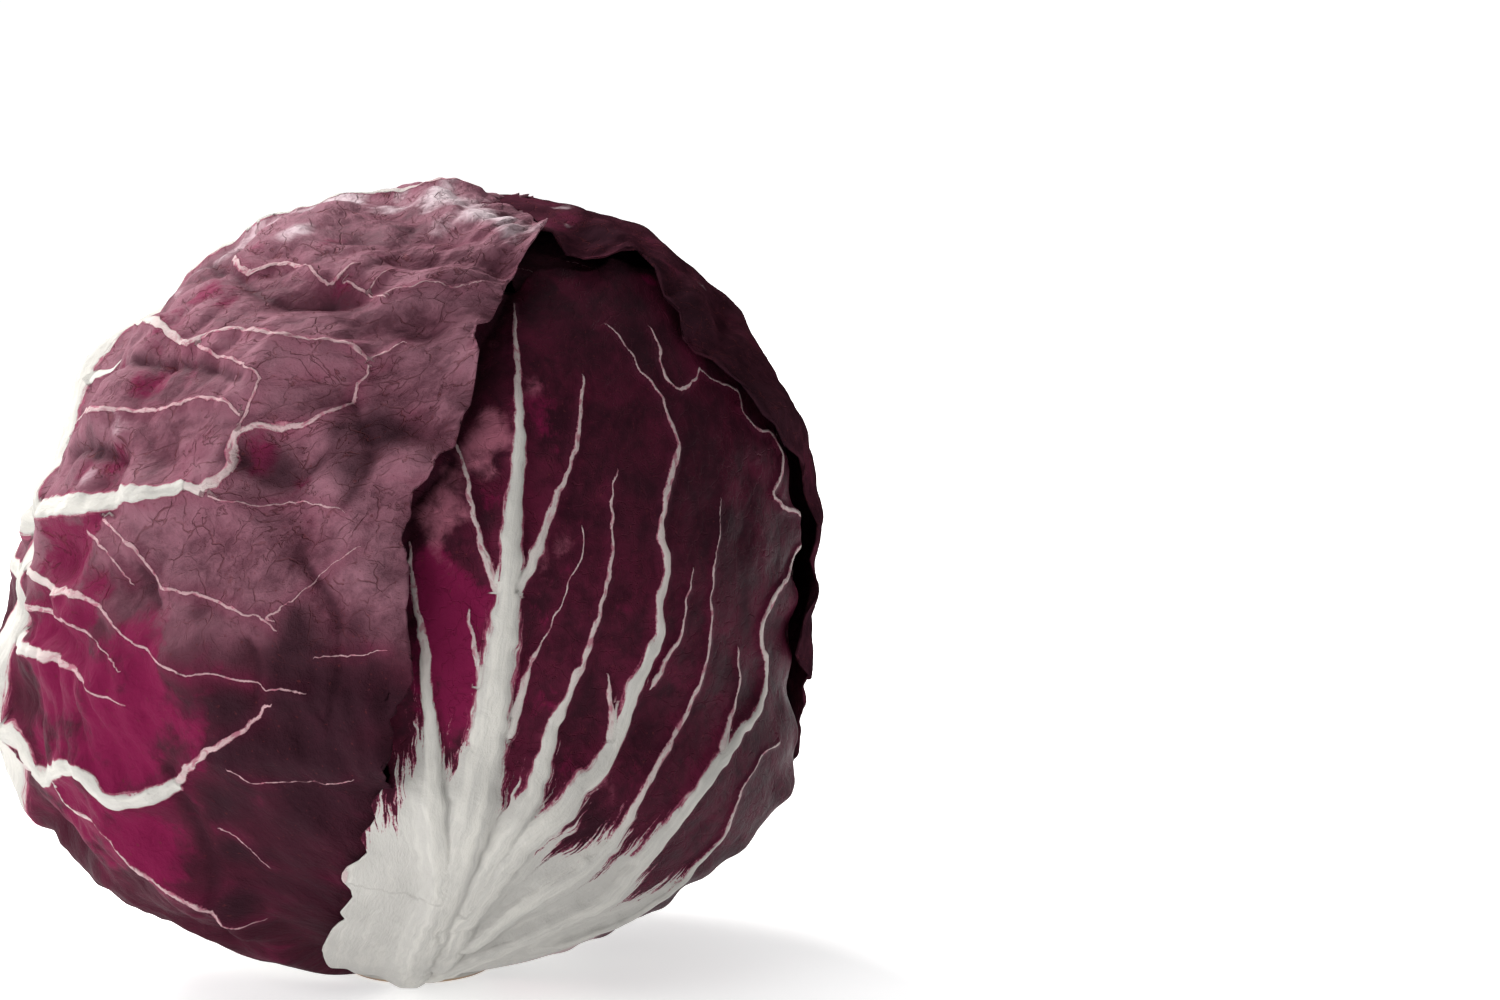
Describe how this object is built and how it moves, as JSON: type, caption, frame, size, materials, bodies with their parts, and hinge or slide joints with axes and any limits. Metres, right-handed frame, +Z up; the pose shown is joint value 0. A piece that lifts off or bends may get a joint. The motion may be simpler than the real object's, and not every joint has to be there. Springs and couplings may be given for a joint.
{
  "type": "radicchio head",
  "caption": "Round head of red radicchio with overlapping crumpled wrapper leaves, white ribs and a cut stem it stands on.",
  "frame": {"origin": "middle of the flat cut face of the stem, which the head stands on", "axes": "+Z up the head from the cut stem to the crown; -Y is the side that the picture shows"},
  "size_m": [0.1244, 0.125, 0.1211],
  "materials": {
    "stem": "matt, cut plant core, cream turning brown at the rim",
    "inner_leaf": "satin leaf, dark wine red with white ribs",
    "dusty_leaf": "matt leaf, mauve plum with a whitish bloom and white ribs",
    "glossy_leaf": "semi-gloss leaf, dark wine red with a fan of white ribs"
  },
  "bodies": {
    "root": {"stem": "stem", "heart": "inner_leaf", "leaf_left": "dusty_leaf", "leaf_back_right": "dusty_leaf", "leaf_front": "glossy_leaf", "leaf_right": "glossy_leaf", "leaf_back_left": "glossy_leaf", "leaf_inner_left": "inner_leaf", "leaf_inner_back": "inner_leaf"}
  },
  "joints": []
}
